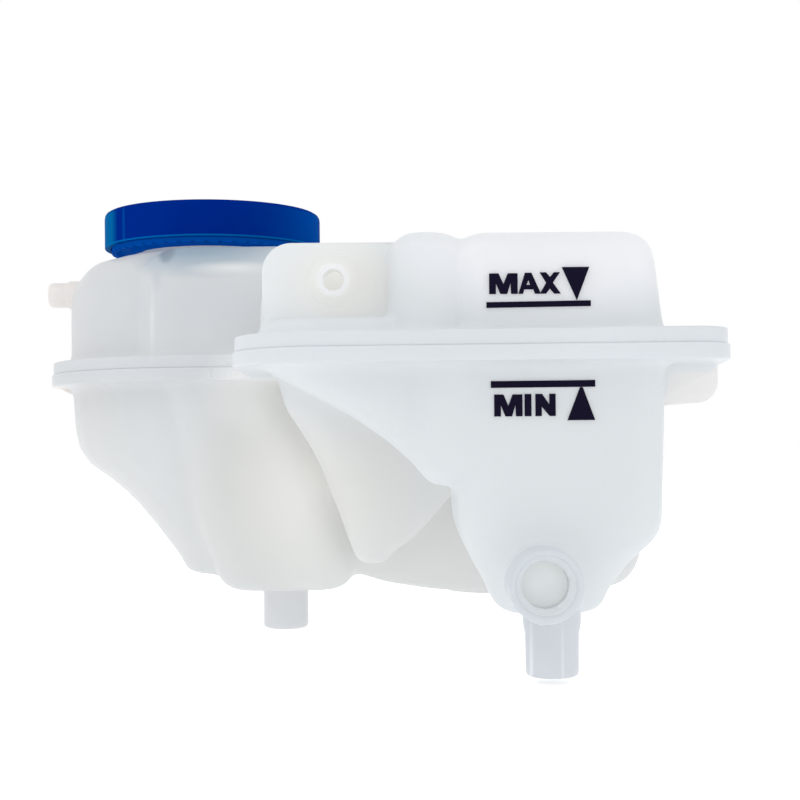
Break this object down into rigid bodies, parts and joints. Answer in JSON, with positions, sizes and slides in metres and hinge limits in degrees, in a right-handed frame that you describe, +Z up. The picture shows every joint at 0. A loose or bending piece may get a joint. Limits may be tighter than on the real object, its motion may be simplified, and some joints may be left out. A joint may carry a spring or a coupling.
{
  "type": "coolant expansion tank",
  "caption": "Moulded translucent tank of joined chambers with a welded flange, screw pressure cap, hose spigots, bleed nipple and mounting tab.",
  "frame": {"origin": "middle of the screw hole in the mounting tab, on the tab's front face", "axes": "+X to the right and +Y to the back as seen from the side with the level marks, +Z up out of the filler neck"},
  "size_m": [0.2511, 0.243, 0.1682],
  "materials": {
    "tank_plastic": "satin, milky and slightly translucent",
    "disc_plastic": "satin",
    "cap_blue": "satin moulded",
    "ring_blue": "satin moulded",
    "housing_black": "moulded, glass filled",
    "seal_rubber": "matte",
    "spring_steel": "bright",
    "valve_brass": "turned"
  },
  "bodies": {
    "tank": {"upper_shell": "tank_plastic", "lower_shell": "tank_plastic", "outlet_disc": "disc_plastic"},
    "seal_ring": {"neck_gasket": "seal_rubber"},
    "valve_insert": {"valve_housing": "housing_black", "housing_o_ring": "seal_rubber", "lower_o_ring": "seal_rubber", "spring_seat": "spring_steel", "snap_ring": "spring_steel", "pressure_spring": "spring_steel"},
    "cap": {"cap_cover": "cap_blue", "threaded_ring": "ring_blue"},
    "pressure_valve": {"pressure_plate": "spring_steel", "pressure_seal": "seal_rubber", "vacuum_spring": "spring_steel"},
    "vacuum_poppet": {"vacuum_valve": "valve_brass", "vacuum_seal": "seal_rubber", "vacuum_clip": "spring_steel"}
  },
  "joints": [
    {"name": "cap_off", "type": "slide", "parent": "tank", "child": "seal_ring", "axis": [0, 0, 1], "range_m": [0, 0.04]},
    {"name": "thread_lift", "type": "slide", "parent": "seal_ring", "child": "valve_insert", "axis": [0, 0, 1], "range_m": [0, 0.008]},
    {"name": "cap_turn", "type": "hinge", "parent": "valve_insert", "child": "cap", "pos_m": [-0.0557, 0.145, 0.04], "axis": [0, 0, 1], "range_deg": [0, 720]},
    {"name": "pressure_lift", "type": "slide", "parent": "valve_insert", "child": "pressure_valve", "axis": [0, 0, 1], "range_m": [0, 0.003], "stiffness_N_per_m": 6000, "deforming": ["pressure_spring"]},
    {"name": "vacuum_drop", "type": "slide", "parent": "pressure_valve", "child": "vacuum_poppet", "axis": [0, 0, -1], "range_m": [0, 0.002], "stiffness_N_per_m": 1500, "deforming": ["vacuum_spring"]}
  ],
  "couplings": [
    {"joint": "thread_lift", "follows": "cap_turn", "m_per_rad": 0.00063662}
  ]
}
